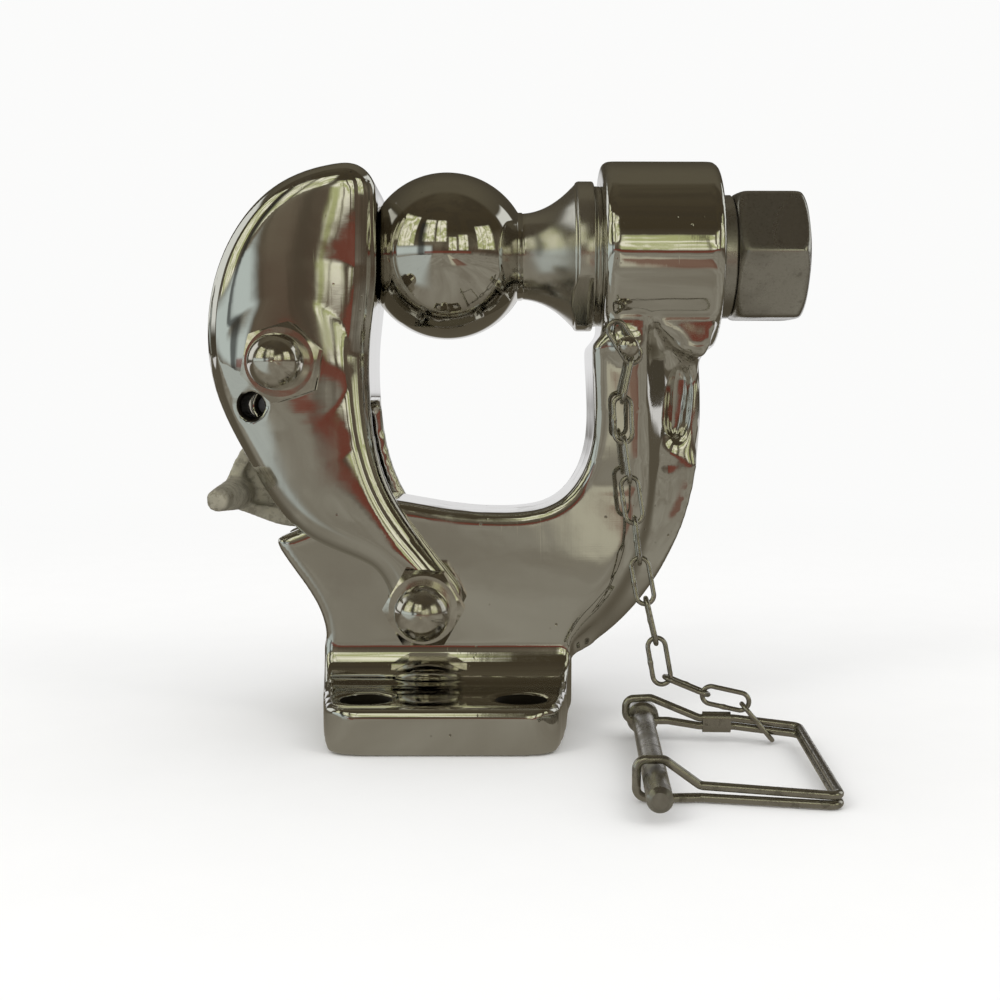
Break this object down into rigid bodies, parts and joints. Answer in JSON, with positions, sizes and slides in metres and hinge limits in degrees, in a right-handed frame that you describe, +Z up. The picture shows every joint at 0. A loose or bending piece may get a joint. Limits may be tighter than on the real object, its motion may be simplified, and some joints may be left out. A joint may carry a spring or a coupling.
{
  "type": "combination pintle hook and hitch ball",
  "caption": "Plate-mounted pintle hook whose pivoting jaw closes against a horizontal hitch ball, with a locking pawl and a chained safety pin.",
  "frame": {"origin": "centre of the mounting face, midway between the four bolt holes", "axes": "+Z up, away from the vehicle-side mounting face; +X along the ball stud from ball to nut; -Y to the side with the chain"},
  "size_m": [0.179, 0.1806, 0.171],
  "materials": {
    "polished_casting": "polished",
    "polished_ball": "polished",
    "sand_cast": "rough cast",
    "satin_nut": "satin",
    "fastener": "polished",
    "chain_wire": "polished",
    "polished_pin": "polished",
    "spring_wire": "satin"
  },
  "bodies": {
    "hook": {"hook_body": "polished_casting", "jaw_bush": "fastener", "ball_stud": "polished_ball", "ball_lock_washer": "satin_nut", "ball_nut": "satin_nut", "chain_screw": "fastener"},
    "jaw": {"jaw": "polished_casting", "jaw_pivot_bolt": "fastener", "jaw_pivot_nut": "fastener", "jaw_pivot_washers": "fastener", "pawl_pivot_bolt": "fastener", "pawl_pivot_nut": "fastener", "pawl_pivot_washers": "fastener", "pawl_spring": "spring_wire"},
    "pawl": {"pawl": "sand_cast"},
    "link_01": {"chain_link_01": "chain_wire"},
    "link_02": {"chain_link_02": "chain_wire"},
    "link_03": {"chain_link_03": "chain_wire"},
    "link_04": {"chain_link_04": "chain_wire"},
    "link_05": {"chain_link_05": "chain_wire"},
    "link_06": {"chain_link_06": "chain_wire"},
    "link_07": {"chain_link_07": "chain_wire"},
    "link_08": {"chain_link_08": "chain_wire"},
    "link_09": {"chain_link_09": "chain_wire"},
    "link_10": {"chain_link_10": "chain_wire"},
    "link_11": {"chain_link_11": "chain_wire"},
    "link_12": {"chain_link_12": "chain_wire"},
    "bail": {"pin_bail": "spring_wire", "bail_ferrule": "spring_wire"},
    "pin": {"safety_pin": "polished_pin"}
  },
  "joints": [
    {"name": "jaw_pivot", "type": "hinge", "parent": "hook", "child": "jaw", "pos_m": [-0.006, 0, 0.038], "axis": [0, -1, 0], "range_deg": [0, 50]},
    {"name": "pawl_pivot", "type": "hinge", "parent": "jaw", "child": "pawl", "pos_m": [-0.0467, 0, 0.1089], "axis": [0, 1, 0], "range_deg": [0, 35]},
    {"name": "chain_01", "type": "hinge", "parent": "hook", "child": "link_01", "pos_m": [0.0532, -0.02745, 0.1137], "axis": [0, 1, 0], "range_deg": [-14, 1]},
    {"name": "chain_02", "type": "hinge", "parent": "link_01", "child": "link_02", "pos_m": [0.05406, -0.02745, 0.10907], "axis": [0.9781, 0, -0.2079], "range_deg": [-9, 1]},
    {"name": "chain_03", "type": "hinge", "parent": "link_02", "child": "link_03", "pos_m": [0.05162, -0.02882, 0.0976], "axis": [0.004, 0.9934, -0.1149], "range_deg": [-14, 1]},
    {"name": "chain_04", "type": "hinge", "parent": "link_03", "child": "link_04", "pos_m": [0.05225, -0.03017, 0.0859], "axis": [0.9925, 0, 0.1219], "range_deg": [-9, 1]},
    {"name": "chain_05", "type": "hinge", "parent": "link_04", "child": "link_05", "pos_m": [0.05368, -0.03153, 0.07427], "axis": [0.016, 0.9934, -0.1138], "range_deg": [-14, 1]},
    {"name": "chain_06", "type": "hinge", "parent": "link_05", "child": "link_06", "pos_m": [0.05522, -0.03288, 0.06265], "axis": [0.9945, 0, 0.1045], "range_deg": [-9, 1]},
    {"name": "chain_07", "type": "hinge", "parent": "link_06", "child": "link_07", "pos_m": [0.05645, -0.03424, 0.05099], "axis": [0.02, 0.9934, -0.1132], "range_deg": [-14, 1]},
    {"name": "chain_08", "type": "hinge", "parent": "link_07", "child": "link_08", "pos_m": [0.05861, -0.0356, 0.03948], "axis": [0.9752, 0, 0.2215], "range_deg": [-9, 1]},
    {"name": "chain_09", "type": "hinge", "parent": "link_08", "child": "link_09", "pos_m": [0.0612, -0.03695, 0.02804], "axis": [0.0194, 0.9934, -0.1133], "range_deg": [-14, 1]},
    {"name": "chain_10", "type": "hinge", "parent": "link_09", "child": "link_10", "pos_m": [0.06511, -0.03817, 0.01804], "axis": [0.3665, 0, 0.9304], "range_deg": [-9, 1]},
    {"name": "chain_11", "type": "hinge", "parent": "link_10", "child": "link_11", "pos_m": [0.07602, -0.03953, 0.01375], "axis": [0.1126, 0.9934, -0.0229], "range_deg": [-14, 1]},
    {"name": "chain_12", "type": "hinge", "parent": "link_11", "child": "link_12", "pos_m": [0.08665, -0.04082, 0.00996], "axis": [0.7665, 0, 0.6422], "range_deg": [-9, 1]},
    {"name": "bail_turn", "type": "hinge", "parent": "link_12", "child": "bail", "pos_m": [0.08989, -0.041, 0.00609], "axis": [0.9984, -0.0558, 0], "range_deg": [-10, 10]},
    {"name": "pin_swing", "type": "hinge", "parent": "bail", "child": "pin", "pos_m": [0.0575, -0.03811, 0.0059], "axis": [0.9984, -0.0558, 0], "range_deg": [-70, 0], "deforming": ["pin_bail"]}
  ],
  "couplings": [
    {"joint": "pawl_pivot", "follows": "jaw_pivot", "ratio": 0.7}
  ]
}
